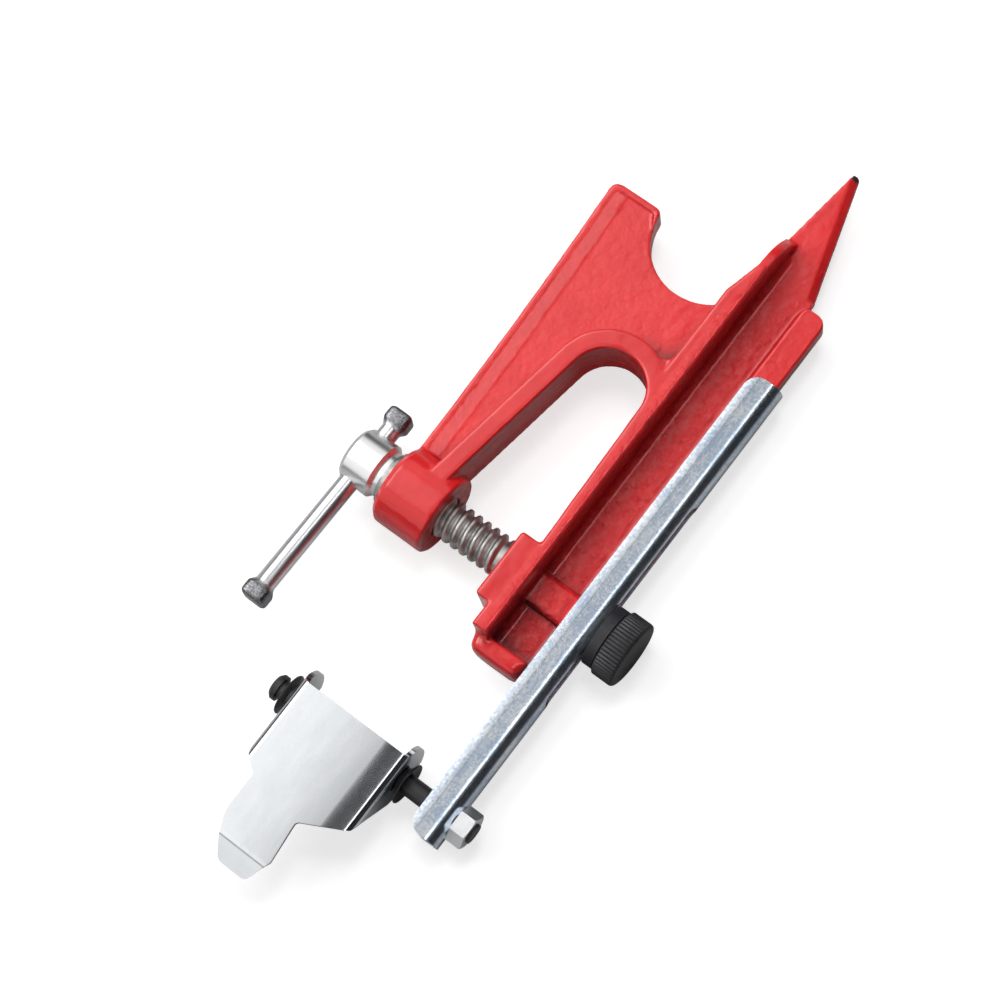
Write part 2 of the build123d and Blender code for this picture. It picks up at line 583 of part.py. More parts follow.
def pawl_plate():
    """The pawl: a plate with two ears folded back and a tongue with a bent tip."""
    flat = tongue_face()
    x = (PAWL_LEFT_X, PAWL_RIGHT_X)
    low = TONGUE_BEND_Y - TIP_REACH - OVERRUN
    above = box(x, (TONGUE_BEND_Y, PAWL_TOP_Y), (-OVERRUN, OVERRUN))
    below = box(x, (low, TONGUE_BEND_Y), (-OVERRUN, OVERRUN))
    plate = slab(flat & above, PAWL_FRONT_Z - PAWL_SHEET, PAWL_FRONT_Z)
    holes = rod(PIN_R + RUN_FIT, PAWL_LEFT_X - OVERRUN, PAWL_RIGHT_X + OVERRUN, PIN_Y, RAIL_MID_Z)
    return pawl_fold() + plate + bent_tip(flat & below) - holes


def tongue_face():
    """The plate and its tongue, laid flat, without the ears."""
    left_x, right_x = PAWL_LEFT_X + PAWL_BEND, PAWL_RIGHT_X - PAWL_BEND
    shoulder_y = PAWL_EAR_LOW_Y - SHOULDER_DROP
    top_left = (TONGUE_LEFT_X, PAWL_EAR_LOW_Y - TONGUE_LEFT_DROP)
    turn = (TONGUE_LEFT_X, top_left[1] - TONGUE_LEFT_SIDE)
    top_right = (TONGUE_RIGHT_X, PAWL_EAR_LOW_Y - TONGUE_RIGHT_DROP)
    widest = (TONGUE_RIGHT_X + TONGUE_FLARE, top_right[1] - TONGUE_RIGHT_SIDE)
    tip_left = (TONGUE_LEFT_X + TIP_LEFT_IN, TONGUE_BEND_Y - TIP_REACH)
    tip_right = (TONGUE_RIGHT_X - TIP_RIGHT_IN, TONGUE_BEND_Y - TIP_REACH)
    face = polygon([
        (left_x, PAWL_TOP_Y), (left_x, shoulder_y), top_left, turn, tip_left, tip_right,
        widest, top_right, (right_x, shoulder_y), (right_x, PAWL_TOP_Y)])
    rounds = (
        (top_left, INNER_CURVE), (turn, SIDE_CURVE), (tip_left, TIP_CORNER),
        (tip_right, TIP_CORNER), (widest, INNER_CURVE), (top_right, INNER_CURVE))
    for place, radius in rounds:
        face = fillet(corner(face, *place), radius)
    return face


def pawl_fold():
    """The folded part: two ears joined by the plate through round bends."""
    low, high = RAIL_MID_Z - EAR_BACK, PAWL_FRONT_Z
    fold_z = high - PAWL_BEND
    ear_top_y = PIN_Y + (EAR_TOP_R ** 2 - (fold_z - RAIL_MID_Z) ** 2) ** 0.5
    outer = box((PAWL_LEFT_X, PAWL_RIGHT_X), (PAWL_EAR_LOW_Y, PIN_Y + EAR_TOP_R), (low, high))
    outer = fillet(edges_at(outer, Axis.Z, high).filter_by(Axis.Y), PAWL_BEND)
    inner = box((PAWL_LEFT_X + PAWL_SHEET, PAWL_RIGHT_X - PAWL_SHEET),
                (PAWL_EAR_LOW_Y - OVERRUN, PIN_Y + EAR_TOP_R + OVERRUN), (low - OVERRUN, high - PAWL_SHEET))
    inner = fillet(edges_at(inner, Axis.Z, high - PAWL_SHEET).filter_by(Axis.Y), PAWL_BEND - PAWL_SHEET)
    side = polygon([
        (PAWL_TOP_Y, high), (PAWL_EAR_LOW_Y, high), (PAWL_EAR_LOW_Y, fold_z), (ear_top_y, fold_z)])
    trim = extrude(Plane.YZ * side, PAWL_RIGHT_X - PAWL_LEFT_X, dir=(1, 0, 0))
    fold = (outer - inner) & (Pos(PAWL_LEFT_X, 0, 0) * trim)
    return fold + pawl_ear(PAWL_LEFT_X) + pawl_ear(PAWL_RIGHT_X - PAWL_SHEET)


def bent_tip(flat):
    """The tongue's tip, bent back about the line where it leaves the plate."""
    bend = Pos(0, TONGUE_BEND_Y, PAWL_FRONT_Z)
    tip = slab(Pos(0, -TONGUE_BEND_Y, 0) * flat, -PAWL_SHEET, 0)
    line = edges_at(tip, Axis.Y, 0).filter_by(Axis.X)[0].bounding_box()
    joint = rod(PAWL_SHEET, line.min.X, line.max.X, 0, -PAWL_SHEET) & box(
        (line.min.X, line.max.X), (-PAWL_SHEET, PAWL_SHEET), (-PAWL_SHEET, 0))
    return bend * (Rot(TIP_BEND, 0, 0) * tip + joint)


def parts():
    """Every piece of the clamp by its name."""
    return {
        "cast_body": cast_body(),
        "clamp_screw": clamp_screw(),
        "thrust_washer": thrust_washer(),
        "t_bar": t_bar(),
        "arm_channel": arm_channel(),
        "knob_collar": knob_collar(),
        "clamp_knob": clamp_knob(),
        "knob_stud": knob_stud(),
        "pivot_pin": pivot_pin(),
        "pivot_nut": pivot_nut(),
        "push_ring_inner": push_ring(RING_INNER_X, 1),
        "push_ring_outer": push_ring(RING_OUTER_X - RING_THICK - RING_DISH, -1),
        "pawl_plate": pawl_plate(),
    }


os.makedirs("parts", exist_ok=True)
for name, piece in parts().items():
    export_step(piece, f"parts/{name}.step")
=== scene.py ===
import math

import bmesh
import bpy
from mathutils import Matrix, Vector


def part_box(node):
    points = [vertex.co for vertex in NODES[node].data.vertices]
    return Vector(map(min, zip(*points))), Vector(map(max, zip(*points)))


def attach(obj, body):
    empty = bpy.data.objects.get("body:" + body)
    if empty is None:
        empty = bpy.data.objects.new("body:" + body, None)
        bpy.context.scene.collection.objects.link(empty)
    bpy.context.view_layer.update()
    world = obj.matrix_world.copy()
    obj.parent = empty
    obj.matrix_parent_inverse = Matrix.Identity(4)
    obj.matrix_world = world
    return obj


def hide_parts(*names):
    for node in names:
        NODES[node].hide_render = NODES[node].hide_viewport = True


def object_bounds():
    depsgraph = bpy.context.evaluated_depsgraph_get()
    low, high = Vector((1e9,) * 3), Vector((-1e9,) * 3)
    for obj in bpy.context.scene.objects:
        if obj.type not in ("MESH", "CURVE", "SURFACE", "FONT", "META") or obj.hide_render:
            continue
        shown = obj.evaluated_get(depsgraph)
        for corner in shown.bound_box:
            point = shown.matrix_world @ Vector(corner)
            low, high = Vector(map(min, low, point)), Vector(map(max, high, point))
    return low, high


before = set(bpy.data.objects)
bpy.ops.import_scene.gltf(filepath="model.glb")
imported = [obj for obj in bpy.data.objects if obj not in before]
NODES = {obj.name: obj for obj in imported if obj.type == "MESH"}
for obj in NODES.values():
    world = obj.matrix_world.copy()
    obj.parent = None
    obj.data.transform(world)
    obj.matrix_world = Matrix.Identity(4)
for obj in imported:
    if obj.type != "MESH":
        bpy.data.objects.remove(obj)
CAD_LOW, CAD_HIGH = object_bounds()
MM = 0.001

# Camera, fitted to the photograph
LENS = 93.5
SENSOR = 36.0
CLIP_START = 0.01
CLIP_END = 20.0
CAMERA_AT = (0.2191, -0.1372, 0.9124)
CAMERA_RIGHT = (0.7887, 0.6064, -0.1015)
CAMERA_DOWN = (0.5630, -0.7786, -0.2770)
CAMERA_AHEAD = (-0.2469, 0.1613, -0.9555)

# Floor and surroundings
FLOOR_SIZE = (6.0, 6.0)
FLOOR_DROP = 0.4 * MM
WHITE = (1.0, 1.0, 1.0, 1.0)
PAPER = (0.45, 0.45, 0.45, 1.0)
PAPER_LIFT = 0.72
WORLD_LIGHT = 0.12

# Flat stage pieces, each with its size and its place
CEILING = ((6.0, 3.4), (0.0, 0.0, 2.3))
RIGHT_FLAG = ((2.3, 4.0), (1.4, 0.0, 1.15))
LEFT_FLAG = ((1.1, 4.4), (-2.4, 0.0, 0.55))
FAR_FLAG = ((4.8, 1.1), (-0.5, 2.2, 0.55))
NEAR_FLAG = ((4.8, 0.5), (-0.5, -2.2, 0.25))
SOFT_BOX = ((1.6, 2.4), (-1.30, 0.0, 1.5))
CARD = ((0.30, 2.4), (-0.47, 0.0, 1.49))
STRIP = ((0.34, 1.6), (0.24, 0.1, 1.5))
LEVEL = (0.0, 0.0, 0.0)
FACING_DOWN = (math.radians(180), 0.0, 0.0)
FACING_X = (0.0, math.radians(90), 0.0)
FACING_Y = (math.radians(90), 0.0, 0.0)
CLOTH = (0.06, 0.06, 0.065, 1)
CLOTH_SURFACE = {"Roughness": 0.9, "Specular IOR Level": 0.1}

# Soft light: strengths, and where a box starts to fade on its way from the middle to the edge
BOX_STRENGTH = 3.8
CARD_STRENGTH = 1.25
STRIP_STRENGTH = 3.0
BOX_MIDDLE = 0.5
FADE_START = 0.36
FADE_END = 0.5

# Lamps
LAMP_AIM = (0.0, 0.03, 0.0)
KEY_AT = (-0.30, 0.55, 1.60)
KEY_SIZE = 0.7
KEY_POWER = 22.0
SIDE_AT = (-1.3, -0.7, 0.9)
SIDE_SIZE = 0.5
SIDE_POWER = 4.0

# Bands of a noise's values
NOISE_MOST = (0.35, 0.65)
NOISE_WIDE = (0.3, 0.7)

# Red paint: colours, surface, the painted shade in its crevices, and the places where its lumps grow or fade
RED_DEEP = (0.66, 0.013, 0.016, 1)
RED_BRIGHT = (0.74, 0.020, 0.022, 1)
# Painted shade: the near-black red that crevices are painted with in place of their shade
RED_SHADED = (0.07, 0.002, 0.005, 1)
BARE_IRON = (0.035, 0.02, 0.018, 1)
PAINT_SURFACE = {"Roughness": 0.45, "Specular IOR Level": 0.25, "Coat Weight": 0.9, "Coat Roughness": 0.14,
                 "IOR": 1.5}
FACE_EDGE_Z = (7.5 * MM, 9.5 * MM)
CHANNEL_LEFT_X = (8.0 * MM, 11.0 * MM)
CHANNEL_RIGHT_X = (26.0 * MM, 28.5 * MM)
CHANNEL_LOW_Y = (-27.5 * MM, -25.5 * MM)
CHANNEL_TOP_Y = (130.0 * MM, 150.0 * MM)
LOW_FACE_LUMPS = 0.6
HIGH_FACE_LUMPS = 0.12
PAD_LUMPS = 0.1
SPIKE_LUMPS = 0.3
LUMP_DEPTH = 1.2 * MM
GRAIN_DEPTH = 0.05 * MM
# Painted shade in crevices: how far the occlusion looks, its samples, and the openness band over which the
# paint goes to RED_SHADED
CREVICE_SHADE_REACH = 22.0 * MM
CREVICE_SHADE_SAMPLES = 8
CREVICE_SHADE_OPENNESS = (0.42, 0.65)
POINT_BARE_Y = (196.2 * MM, 196.8 * MM)
POINT_RAGGED = 2.0 * MM

# Bright steel of the screw's head, dull steel of its thread
HEAD_STEEL = (0.86, 0.86, 0.86, 1)
THREAD_DARK = (0.30, 0.29, 0.28, 1)
THREAD_LIGHT = (0.56, 0.55, 0.53, 1)
DULL_FROM_X = (-56.0 * MM, -55.5 * MM)
STEEL_STRETCH = (6, 1, 1)
HEAD_ROUGHNESS = 0.24
THREAD_ROUGHNESS = 0.36
STREAK_ROUGHNESS = 0.1
STREAK_DEPTH = 0.008 * MM

# Zinc on the nut, the arm and the pawl
NUT_ZINC = (0.92, 0.93, 0.94, 1)
NUT_DIMMED = 0.92
NUT_ROUGHNESS = (0.28, 0.38)
NUT_DEPTH = 0.005 * MM
ARM_ZINC = {"light": (0.84, 0.88, 0.92, 1), "dark": (0.46, 0.55, 0.68, 1), "roughness": 0.24,
            "mottle": 0.12, "depth": 0.002 * MM}
PAWL_ZINC = {"light": (0.76, 0.78, 0.79, 1), "dark": (0.72, 0.74, 0.76, 1), "roughness": 0.12,
             "mottle": 0.25, "depth": 0.0006 * MM}
ZINC_STRETCH = (1, 0.35, 1)
SPECK_SHARE = 0.40
SPECK_ROUGHNESS = 0.03

# Chrome on the sliding bar, dull on its blocks
CHROME = (0.84, 0.84, 0.86, 1)
BLOCK_DARK = (0.12, 0.12, 0.13, 1)
BLOCK_LIGHT = (0.30, 0.30, 0.31, 1)
CHROME_TOP_Y = (14.5 * MM, 16.5 * MM)
CHROME_LOW_Y = (-61.5 * MM, -59.5 * MM)
PIT_BAND = (0.42, 0.62)
CHROME_ROUGHNESS = 0.29
BLOCK_ROUGHNESS = 0.34
PIT_DEPTH = 0.006 * MM

# Black parts
BLACK_STEEL = (0.012, 0.012, 0.013, 1)
BLACK_STEEL_ROUGHNESS = 0.38
BLACK_PLASTIC = (0.012, 0.012, 0.014, 1)
BLACK_PLASTIC_ROUGHNESS = 0.46
DUST_LIFT = 2.2
DUST_BAND = (0.45, 0.75)
GLOSSIER = 0.06
DULLER = 0.08
BLACK_DEPTH = 0.15 * MM

# Casting's skin: each run of lumps has a name, a size, a depth of detail and a height
WELD_REACH = 0.002 * MM
SKIN_VOXEL = 0.6 * MM
SMOOTH_FACTOR = 0.5
SKIN_SMOOTHING = 3
SKIN_LUMPS = (("lumps", 5.0 * MM, 1, 0.14 * MM), ("grain", 2.0 * MM, 1, 0.05 * MM))
SKIN_LEVEL = 0.65
PAD_TOP_Y = -27.5 * MM
PAD_FADE = 1.5 * MM
PAD_SMOOTHING = 160

# Edges of pieces, and how near to straight a corner is left unrounded
NEARLY_STRAIGHT = 0.001
BEVEL_ANGLE = math.radians(35)
BEVEL_STEPS = 2
SHARP_SHEET = math.radians(35)
SHARP_BAR = math.radians(40)
SHARP_TURNED = math.radians(50)
SCREW_EDGE = 0.15 * MM
ARM_EDGE = 0.25 * MM
PAWL_EDGE = 0.55 * MM

# Screw
SCREW_R = 8.0 * MM
THREAD_START_X = -54.0 * MM
THREAD_PITCH = 4.0 * MM
THREAD_DEPTH = 1.7 * MM
THREAD_SIDES = 64
THREAD_STEPS = 14
CREST_SHARE = 0.18
FLANK_POWER = 1.2
TIP_R = 6.6 * MM
TIP_LENGTH = 2.6 * MM
TIP_BEVEL = 0.6 * MM
OVERLAP = 0.4 * MM

# Knob: along from its inner or outer face, depth below the rim, both in mm, and share of the ribs
KNOB_RIBS = 52
RIB_POINTS = 8
RIB_DEPTH = 0.45 * MM
RIB_POWER = 0.6
KNOB_INNER_EDGE = ((0.0, 1.2, 0.2), (0.4, 0.4, 0.8), (0.8, 0.0, 1.0))
KNOB_OUTER_EDGE = ((1.6, 0.0, 1.0), (0.9, 0.15, 1.0), (0.4, 0.55, 0.9), (0.15, 1.2, 0.4),
                   (0.05, 2.2, 0.0), (0.0, 6.0, 0.0))

# Sliding bar, places along its own axis. Its profile has (mm in from an end, share of the half width)
BAR_AXIS = Vector((0.0, 0.998135, -0.061049))
BAR_SIDE = Vector((1, 0, 0))
BAR_TOP = 22.4 * MM
BAR_LOW = -67.5 * MM
BAR_R = 4.0 * MM
BAR_SIDES = 64
BLOCK_HALF = 5.1 * MM
BLOCK_PROFILE = ((0.0, 0.74), (0.25, 0.86), (0.7, 0.95), (1.3, 0.99), (2.2, 1.0), (5.0, 1.0), (5.7, 0.965),
                 (6.4, 0.90), (7.2, 0.825), (8.0, 0.785))
ROUND_POWER = 2.0
SQUARE_POWER = 5.0
FLARE_START = 5.0
FLARE_LENGTH = 3.0
FLARE_POWER = 0.7

# Folded arm
ARM_SHEET = 2.2 * MM
ARM_BEND = 5.4 * MM
ARM_ROOT = 1.2 * MM
ARM_CORNER = 6.0 * MM
ARM_CORNER_STEPS = 10
ARM_CROWN = 3.6 * MM
ARM_CROWN_DROP = 0.11 * MM
ARM_CROWN_STEPS = 6
ARM_LEAN = 0.30 * MM
SLOT_ENDS = (-31.0 * MM, 54.0 * MM)
SLOT_HALF = 3.5 * MM
SLOT_STEPS = 16
PIN_Y = -86.2 * MM
PIN_HOLE_R = 4.05 * MM

# Pawl, laid flat. The tongue's corners are (x, y, radius) in mm
PAWL_SHEET = 2.0 * MM
PAWL_BEND = 3.0 * MM
PAWL_TOP_Y = -79.2 * MM
PAWL_LOW_Y = -112.2 * MM
SHOULDER_R = 2.0 * MM
EAR_R = 13.4 * MM
EAR_BACK = 9.0 * MM
EAR_BACK_R = 5.0 * MM
EAR_FOOT_RISE = 4.2 * MM
EAR_FOOT_R = 4.0 * MM
EAR_STEPS = 14
TONGUE = ((-24.7, -117.0, 2.0), (-24.7, -133.0, 14.0), (-17.1, -150.1, 3.2), (-4.4, -150.1, 3.2),
          (0.2, -138.0, 2.0), (-1.5, -121.3, 2.0))
TIP_BEND_Y = -141.0 * MM
TIP_BEND_R = 9.0 * MM
TIP_ANGLE = math.radians(35)
TIP_BEND_TOP_Y = TIP_BEND_Y + TIP_BEND_R * math.tan(TIP_ANGLE / 2)
PAWL_CROWN = 8.0 * MM
PAWL_CROWN_TURN = math.radians(6)
BEND_STEPS = 12

# Push-on rings
RING_R = 8.4 * MM
RING_SHEET = 0.8 * MM
RING_DISH = 0.9 * MM
RING_ROUND = 0.2 * MM
RING_SIDES = 96
HUB_R = 5.6 * MM
HUB_BEVEL = 0.3 * MM
HUB_GAP = 0.3 * MM


def node(tree, kind, **values):
    """A new node with its plain properties and input values set."""
    made = tree.nodes.new(kind)
    for key, value in values.items():
        if key in made.inputs:
            made.inputs[key].default_value = value
        else:
            setattr(made, key, value)
    return made


def join(tree, source, target):
    """Links two sockets."""
    tree.links.new(source, target)


def empty_material(name):
    """A node material with nothing but its output, and that output's surface."""
    material = bpy.data.materials.new(name)
    material.use_nodes = True
    tree = material.node_tree
    tree.nodes.clear()
    out = node(tree, "ShaderNodeOutputMaterial")
    return material, tree, out.inputs["Surface"]


def new_material(name, surface_values=None):
    """A node material with its shader, whose own sockets take the given constants."""
    material, tree, surface = empty_material(name)
    shader = node(tree, "ShaderNodeBsdfPrincipled", **(surface_values or {}))
    join(tree, shader.outputs["BSDF"], surface)
    return material, tree, shader


def object_coordinates(tree, scale=(1, 1, 1)):
    """Object coordinates, stretched per axis."""
    coordinates = node(tree, "ShaderNodeTexCoord")
    mapping = node(tree, "ShaderNodeMapping", Scale=scale)
    join(tree, coordinates.outputs["Object"], mapping.inputs["Vector"])
    return mapping.outputs["Vector"]


def axes(tree, vector):
    """A vector's outputs, named X, Y and Z."""
    split = node(tree, "ShaderNodeSeparateXYZ")
    join(tree, vector, split.inputs["Vector"])
    return split.outputs


def noise(tree, vector, scale, detail, roughness):
    """A noise texture's factor."""
    made = node(tree, "ShaderNodeTexNoise", Scale=scale, Detail=detail, Roughness=roughness)
    join(tree, vector, made.inputs["Vector"])
    return made.outputs["Fac"]


def remap(tree, value, low, high, to_low=0.0, to_high=1.0):
    """A clamped change of range."""
    made = node(tree, "ShaderNodeMapRange")
    made.clamp = True
    for key, number in (("From Min", low), ("From Max", high), ("To Min", to_low), ("To Max", to_high)):
        made.inputs[key].default_value = number
    join(tree, value, made.inputs["Value"])
    return made.outputs["Result"]


def mix_colours(tree, factor, first, second):
    """A colour between two, by a factor."""
    made = node(tree, "ShaderNodeMix", data_type="RGBA")
    join(tree, factor, made.inputs["Factor"])
    for socket, colour in ((made.inputs["A"], first), (made.inputs["B"], second)):
        if isinstance(colour, tuple):
            socket.default_value = colour
        else:
            join(tree, colour, socket)
    return made.outputs["Result"]


def combine(tree, operation, first, second):
    """Two values through one maths node."""
    made = node(tree, "ShaderNodeMath", operation=operation)
    for socket, value in zip(made.inputs, (first, second)):
        if isinstance(value, (int, float)):
            socket.default_value = value
        else:
            join(tree, value, socket)
    return made.outputs["Value"]


def bump(tree, height, depth, strength, under=None):
    """A bump from a height, on top of another one where given."""
    made = node(tree, "ShaderNodeBump", Strength=strength, Distance=depth)
    join(tree, height, made.inputs["Height"])
    if under is not None:
        join(tree, under, made.inputs["Normal"])
    return made.outputs["Normal"]


def scaled(colour, share):
    """A colour made darker or lighter."""
    return tuple(share * part for part in colour[:3]) + (1,)


def lump_share(tree, at):
    """How strongly the paint's lumps show: most on low faces and in the channel, little at its ends."""
    low_face = remap(tree, at["Z"], *FACE_EDGE_Z, LOW_FACE_LUMPS, HIGH_FACE_LUMPS)
    channel = combine(tree, "MULTIPLY", remap(tree, at["X"], *CHANNEL_LEFT_X),
                      remap(tree, at["X"], *CHANNEL_RIGHT_X, to_low=1.0, to_high=0.0))
    ends = combine(tree, "MULTIPLY", remap(tree, at["Y"], *CHANNEL_LOW_Y, to_low=PAD_LUMPS),
                   remap(tree, at["Y"], *CHANNEL_TOP_Y, to_low=1.0, to_high=SPIKE_LUMPS))
    return combine(tree, "MULTIPLY", combine(tree, "ADD", low_face, channel), ends)


def red_paint():
    """Gloss red paint on a sand casting, with painted shade darkening its crevices, and worn off at the
    spike's point.
    """
    material, tree, shader = new_material("red_paint", PAINT_SURFACE)
    plain = object_coordinates(tree)
    at = axes(tree, plain)
    lumps = noise(tree, plain, scale=330.0, detail=2.0, roughness=0.5)
    grain = noise(tree, plain, scale=900.0, detail=2.0, roughness=0.5)
    tone = noise(tree, plain, scale=60.0, detail=2.0, roughness=0.5)
    pits = noise(tree, plain, scale=1500.0, detail=1.0, roughness=0.5)
    height = combine(tree, "MULTIPLY", lumps, lump_share(tree, at))
    lumpy = bump(tree, height, LUMP_DEPTH, strength=1.0)
    join(tree, bump(tree, grain, GRAIN_DEPTH, strength=0.7, under=lumpy), shader.inputs["Normal"])
    paint = mix_colours(tree, remap(tree, tone, *NOISE_MOST), RED_DEEP, RED_BRIGHT)
    # Painted shade: the paint's colour darkens towards RED_SHADED where the occlusion finds a crevice
    crevice_shade_ao = node(tree, "ShaderNodeAmbientOcclusion", only_local=True, samples=CREVICE_SHADE_SAMPLES,
                    Distance=CREVICE_SHADE_REACH)
    paint = mix_colours(tree, remap(tree, crevice_shade_ao.outputs["AO"], *CREVICE_SHADE_OPENNESS), RED_SHADED, paint)
    ragged = combine(tree, "ADD", at["Y"], combine(tree, "MULTIPLY", pits, POINT_RAGGED))
    bare = remap(tree, ragged, *POINT_BARE_Y)
    join(tree, mix_colours(tree, bare, paint, BARE_IRON), shader.inputs["Base Color"])
    return material


def screw_steel():
    """Bright turned steel on the screw's head, duller and darker along its thread."""
    material, tree, shader = new_material("bright_steel", {"Metallic": 1.0})
    plain = object_coordinates(tree)
    streaks = noise(tree, object_coordinates(tree, STEEL_STRETCH), scale=900.0, detail=3.0, roughness=0.6)
    clouds = noise(tree, plain, scale=260.0, detail=3.0, roughness=0.6)
    thread = remap(tree, axes(tree, plain)["X"], *DULL_FROM_X)
    dull = mix_colours(tree, remap(tree, clouds, *NOISE_MOST), THREAD_DARK, THREAD_LIGHT)
    join(tree, mix_colours(tree, thread, HEAD_STEEL, dull), shader.inputs["Base Color"])
    rough = combine(tree, "ADD", remap(tree, thread, 0.0, 1.0, HEAD_ROUGHNESS, THREAD_ROUGHNESS),
                    combine(tree, "MULTIPLY", streaks, STREAK_ROUGHNESS))
    join(tree, rough, shader.inputs["Roughness"])
    join(tree, bump(tree, streaks, STREAK_DEPTH, strength=0.5), shader.inputs["Normal"])
    return material


def nut_zinc():
    """The nut's bright zinc, with a fine grain in its gloss."""
    material, tree, shader = new_material("zinc_nut", {"Metallic": 1.0})
    plain = object_coordinates(tree)
    grain = noise(tree, plain, scale=900.0, detail=3.0, roughness=0.6)
    clouds = noise(tree, plain, scale=120.0, detail=3.0, roughness=0.55)
    tone = mix_colours(tree, remap(tree, clouds, *NOISE_MOST), scaled(NUT_ZINC, NUT_DIMMED), NUT_ZINC)
    join(tree, tone, shader.inputs["Base Color"])
    join(tree, remap(tree, grain, *NOISE_WIDE, *NUT_ROUGHNESS), shader.inputs["Roughness"])
    join(tree, bump(tree, grain, NUT_DEPTH, strength=0.5), shader.inputs["Normal"])
    return material


def zinc_plate(name, light, dark, roughness, mottle, depth):
    """Bright zinc plate with fine mottling, rougher where it is dark."""
    material, tree, shader = new_material(name, {"Metallic": 1.0})
    specks = noise(tree, object_coordinates(tree), scale=1000.0, detail=1.0, roughness=0.5)
    clouds = noise(tree, object_coordinates(tree, ZINC_STRETCH), scale=200.0, detail=3.0, roughness=0.6)
    both = combine(tree, "ADD", combine(tree, "MULTIPLY", specks, SPECK_SHARE),
                   combine(tree, "MULTIPLY", clouds, 1.0 - SPECK_SHARE))
    share = remap(tree, both, 0.5 - mottle, 0.5 + mottle)
    join(tree, mix_colours(tree, share, dark, light), shader.inputs["Base Color"])
    join(tree, remap(tree, both, *NOISE_MOST, to_low=roughness + SPECK_ROUGHNESS, to_high=roughness),
         shader.inputs["Roughness"])
    join(tree, bump(tree, specks, depth, strength=0.5), shader.inputs["Normal"])
    return material


def chromed():
    """Chrome on the sliding bar, dull and pitted on its swaged ends."""
    material, tree, shader = new_material("chromed_bar", {"Metallic": 1.0})
    plain = object_coordinates(tree)
    at = axes(tree, plain)
    specks = noise(tree, plain, scale=1500.0, detail=3.0, roughness=0.7)
    upper = remap(tree, at["Y"], *CHROME_TOP_Y)
    lower = remap(tree, at["Y"], *CHROME_LOW_Y, to_low=1.0, to_high=0.0)
    ends = combine(tree, "MAXIMUM", upper, lower)
    pitted = mix_colours(tree, remap(tree, specks, *PIT_BAND), BLOCK_DARK, BLOCK_LIGHT)
    join(tree, mix_colours(tree, ends, CHROME, pitted), shader.inputs["Base Color"])
    join(tree, remap(tree, ends, 0.0, 1.0, CHROME_ROUGHNESS, BLOCK_ROUGHNESS), shader.inputs["Roughness"])
    join(tree, bump(tree, specks, PIT_DEPTH, strength=0.6), shader.inputs["Normal"])
    return material


def blackened(name, base, roughness):
    """Dark oiled or moulded black, with a fine grain and a little dust."""
    material, tree, shader = new_material(name)
    plain = object_coordinates(tree)
    grain = noise(tree, plain, scale=1400.0, detail=2.0, roughness=0.6)
    dust = noise(tree, plain, scale=240.0, detail=3.0, roughness=0.6)
    join(tree, mix_colours(tree, remap(tree, dust, *DUST_BAND), base, scaled(base, DUST_LIFT)),
         shader.inputs["Base Color"])
    join(tree, remap(tree, grain, *NOISE_WIDE, to_low=roughness - GLOSSIER, to_high=roughness + DULLER),
         shader.inputs["Roughness"])
    join(tree, bump(tree, grain, BLACK_DEPTH, strength=0.4), shader.inputs["Normal"])
    return material


def dress(name, material):
    """Gives a CAD node its one material."""
    materials = NODES[name].data.materials
    materials.clear()
    materials.append(material)


def ray_is(tree, *kinds):
    """One where a ray is of any of these kinds."""
    path = node(tree, "ShaderNodeLightPath")
    total = path.outputs[kinds[0]]
    for kind in kinds[1:]:
        total = combine(tree, "MAXIMUM", total, path.outputs[kind])
    return total


def floor_white():
    """Pale paper, lifted to white for the camera, that keeps the shadows."""
    material, tree, surface = empty_material("floor_white")
    paper = node(tree, "ShaderNodeBsdfDiffuse", Color=PAPER)
    glow = node(tree, "ShaderNodeEmission")
    join(tree, combine(tree, "MULTIPLY", ray_is(tree, "Is Camera Ray"), PAPER_LIFT), glow.inputs["Strength"])
    both = node(tree, "ShaderNodeAddShader")
    join(tree, paper.outputs["BSDF"], both.inputs[0])
    join(tree, glow.outputs["Emission"], both.inputs[1])
    join(tree, both.outputs["Shader"], surface)
    return material


def dark_cloth():
    """The dark cloth of the studio's ceiling and flags."""
    material, tree, shader = new_material("dark_cloth", CLOTH_SURFACE)
    shader.inputs["Base Color"].default_value = CLOTH
    return material


def soft_light(name, strength):
    """A soft box's white front, fading out towards its edges."""
    material, tree, surface = empty_material(name)
    coordinates = node(tree, "ShaderNodeTexCoord")
    at = axes(tree, coordinates.outputs["Generated"])
    ramps = []
    for axis in ("X", "Y"):
        centred = combine(tree, "ABSOLUTE", combine(tree, "SUBTRACT", at[axis], BOX_MIDDLE), 0.0)
        ramps.append(remap(tree, centred, FADE_START, FADE_END, to_low=1.0, to_high=0.0))
    falloff = combine(tree, "MULTIPLY", *ramps)
    glow = node(tree, "ShaderNodeEmission")
    join(tree, combine(tree, "MULTIPLY", falloff, strength), glow.inputs["Strength"])
    join(tree, glow.outputs["Emission"], surface)
    return material


def stage_plane(name, size, place, turn, material, seen=False):
    """A flat stage piece, seen by the camera only where asked."""
    bpy.ops.mesh.primitive_plane_add(size=1.0, location=place, rotation=turn)
    piece = bpy.context.object
    piece.name = name
    piece.scale = (size[0], size[1], 1.0)
    piece.data.materials.append(material)
    piece.visible_camera = seen
    return piece


